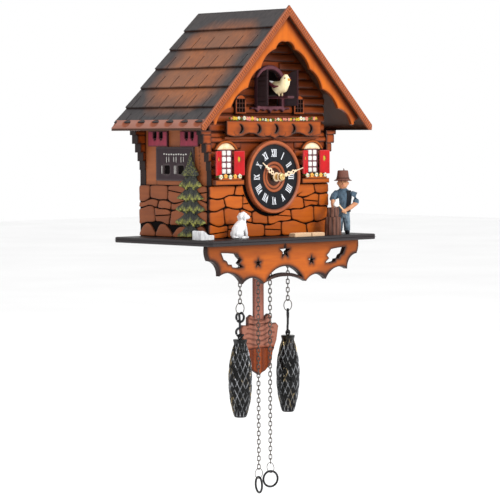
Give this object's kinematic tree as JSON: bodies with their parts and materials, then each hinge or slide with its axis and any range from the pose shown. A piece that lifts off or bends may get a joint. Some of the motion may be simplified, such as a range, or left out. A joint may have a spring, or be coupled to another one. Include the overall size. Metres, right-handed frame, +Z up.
{
  "type": "cuckoo clock",
  "caption": "Battery chalet cuckoo clock with log house, shingled roof, round dial, bird doors, fretwork bracket, pendulum, hanging chains and cone weights.",
  "frame": {"origin": "centre of the hanger hole on the back panel's rear face, in the plane of the wall", "axes": "+X to the right seen from the front, +Y back into the wall, +Z up"},
  "size_m": [0.216, 0.131, 0.4475],
  "materials": {
    "black_lacquer": "satin",
    "back_board": "matt",
    "log_wood": "satin",
    "stone_wood": "satin",
    "steel": "satin",
    "roof_wood": "satin",
    "trim_wood": "satin",
    "fret_wood": "satin",
    "dark_wood": "satin",
    "window_paint": "satin",
    "flower_paint": "matt",
    "red_paint": "satin",
    "mauve_paint": "satin",
    "fir_paint": "matt",
    "black_plastic": "satin",
    "brass": "satin",
    "ivory_plastic": "satin",
    "white_plastic": "satin",
    "cell_case": "gloss",
    "board_green": "satin",
    "speaker_steel": "matt",
    "copper": "satin",
    "bird_paint": "satin",
    "red_wood": "satin",
    "chain_steel": "aged",
    "cone_iron": "bronzed",
    "black_ring": "gloss",
    "figure_paint": "matt",
    "bark_wood": "matt",
    "white_paint": "matt"
  },
  "bodies": {
    "case": {"base_plate": "black_lacquer", "back_panel": "back_board", "left_wall": "log_wood", "right_wall": "log_wood", "front_wall": "log_wood", "masonry_front": "stone_wood", "masonry_sides": "stone_wood", "hanger_plate": "steel", "case_screws": "steel", "roof_left": "roof_wood", "roof_right": "roof_wood", "roof_edge_trim": "trim_wood", "bargeboard": "fret_wood", "eave_log_ends": "dark_wood", "front_bracket": "fret_wood", "balcony_board": "fret_wood", "arched_windows": "window_paint", "flower_boxes": "flower_paint", "front_shutters": "red_paint", "side_windows": "dark_wood", "side_shutters": "mauve_paint", "fir_trees": "fir_paint", "dial_rim": "trim_wood", "chapter_ring": "black_plastic", "movement_front_shell": "black_plastic", "movement_rear_shell": "black_plastic", "batteries": "cell_case", "battery_contacts": "steel", "circuit_board": "board_green", "speaker": "speaker_steel", "drive_coils": "copper", "bird_door_frame": "mauve_paint", "bird_motor": "white_plastic", "chain_rod": "steel", "woodcutter": "figure_paint", "firewood_and_trough": "bark_wood", "dog": "white_paint"},
    "minute": {"minute_arbor": "brass", "minute_hand": "ivory_plastic"},
    "hour": {"hour_wheel": "brass", "hour_hand": "ivory_plastic"},
    "idler": {"minute_wheel": "white_plastic"},
    "pendulum": {"pendulum_stick": "red_wood", "pendulum_bob": "red_wood", "pendulum_magnet": "steel"},
    "cuckoo": {"bird": "bird_paint", "bird_perch": "steel"},
    "door_left": {"bird_door_left": "dark_wood"},
    "door_right": {"bird_door_right": "dark_wood"},
    "strand_left": {"left_weight_chain": "chain_steel"},
    "strand_right": {"right_weight_chain": "chain_steel"},
    "weight_left": {"left_weight": "cone_iron"},
    "weight_right": {"right_weight": "cone_iron"},
    "pull_left": {"left_pull_chain": "chain_steel"},
    "pull_right": {"right_pull_chain": "chain_steel"},
    "ring_left": {"left_pull_ring": "black_ring"},
    "ring_right": {"right_pull_ring": "black_ring"},
    "axe_arm": {"axe_arm": "figure_paint"},
    "battery_door": {"battery_door": "black_plastic"},
    "night_switch": {"night_switch": "white_plastic"}
  },
  "joints": [
    {"name": "minute_turn", "type": "hinge", "parent": "case", "child": "minute", "pos_m": [0, -0.108, -0.1255], "axis": [0, 1, 0], "continuous": true},
    {"name": "hour_turn", "type": "hinge", "parent": "case", "child": "hour", "pos_m": [0, -0.105, -0.1255], "axis": [0, 1, 0], "continuous": true},
    {"name": "idler_turn", "type": "hinge", "parent": "case", "child": "idler", "pos_m": [0, -0.08, -0.1135], "axis": [0, 1, 0], "continuous": true},
    {"name": "pendulum_swing", "type": "hinge", "parent": "case", "child": "pendulum", "pos_m": [0, -0.0804, -0.145], "axis": [0, 1, 0], "range_deg": [-2, 2]},
    {"name": "cuckoo_slide", "type": "slide", "parent": "case", "child": "cuckoo", "axis": [0, 1, 0], "range_m": [0, 0.03]},
    {"name": "door_left_swing", "type": "hinge", "parent": "case", "child": "door_left", "pos_m": [-0.016, -0.0984, -0.045], "axis": [0, 0, 1], "range_deg": [0, 100]},
    {"name": "door_right_swing", "type": "hinge", "parent": "case", "child": "door_right", "pos_m": [0.016, -0.0984, -0.045], "axis": [0, 0, 1], "range_deg": [-100, 0]},
    {"name": "weight_chain_left", "type": "hinge", "parent": "case", "child": "strand_left", "pos_m": [-0.0305, -0.088, -0.176], "axis": [1, 0, 0], "range_deg": [-12, 0]},
    {"name": "weight_left_hook", "type": "hinge", "parent": "strand_left", "child": "weight_left", "pos_m": [-0.0305, -0.088, -0.25], "axis": [1, 0, 0], "range_deg": [-15, 0]},
    {"name": "pull_chain_left", "type": "hinge", "parent": "case", "child": "pull_left", "pos_m": [-0.0075, -0.088, -0.176], "axis": [1, 0, 0], "range_deg": [-12, 0]},
    {"name": "weight_chain_right", "type": "hinge", "parent": "case", "child": "strand_right", "pos_m": [0.0305, -0.088, -0.176], "axis": [1, 0, 0], "range_deg": [-12, 0]},
    {"name": "weight_right_hook", "type": "hinge", "parent": "strand_right", "child": "weight_right", "pos_m": [0.0305, -0.088, -0.25], "axis": [1, 0, 0], "range_deg": [-15, 0]},
    {"name": "pull_chain_right", "type": "hinge", "parent": "case", "child": "pull_right", "pos_m": [0.0075, -0.088, -0.176], "axis": [1, 0, 0], "range_deg": [-12, 0]},
    {"name": "pull_ring_left", "type": "hinge", "parent": "pull_left", "child": "ring_left", "pos_m": [-0.0075, -0.088, -0.40365], "axis": [1, 0, 0], "range_deg": [-20, 20]},
    {"name": "pull_ring_right", "type": "hinge", "parent": "pull_right", "child": "ring_right", "pos_m": [0.0075, -0.088, -0.3998], "axis": [0, 1, 0], "range_deg": [-20, 20]},
    {"name": "axe_swing", "type": "hinge", "parent": "case", "child": "axe_arm", "pos_m": [0.0906, -0.1164, -0.143], "axis": [-0.66, 0.7513, 0], "range_deg": [0, 45]},
    {"name": "battery_door_hinge", "type": "hinge", "parent": "case", "child": "battery_door", "pos_m": [0, -0.0062, -0.1134], "axis": [1, 0, 0], "range_deg": [0, 100]},
    {"name": "night_switch_slide", "type": "slide", "parent": "case", "child": "night_switch", "axis": [1, 0, 0], "range_m": [-0.004, 0.004]}
  ],
  "couplings": [
    {"joint": "hour_turn", "follows": "minute_turn", "ratio": 0.083333},
    {"joint": "idler_turn", "follows": "minute_turn", "ratio": -0.33333},
    {"joint": "door_left_swing", "follows": "cuckoo_slide", "rad_per_m": 58.17},
    {"joint": "door_right_swing", "follows": "cuckoo_slide", "rad_per_m": -58.17}
  ]
}
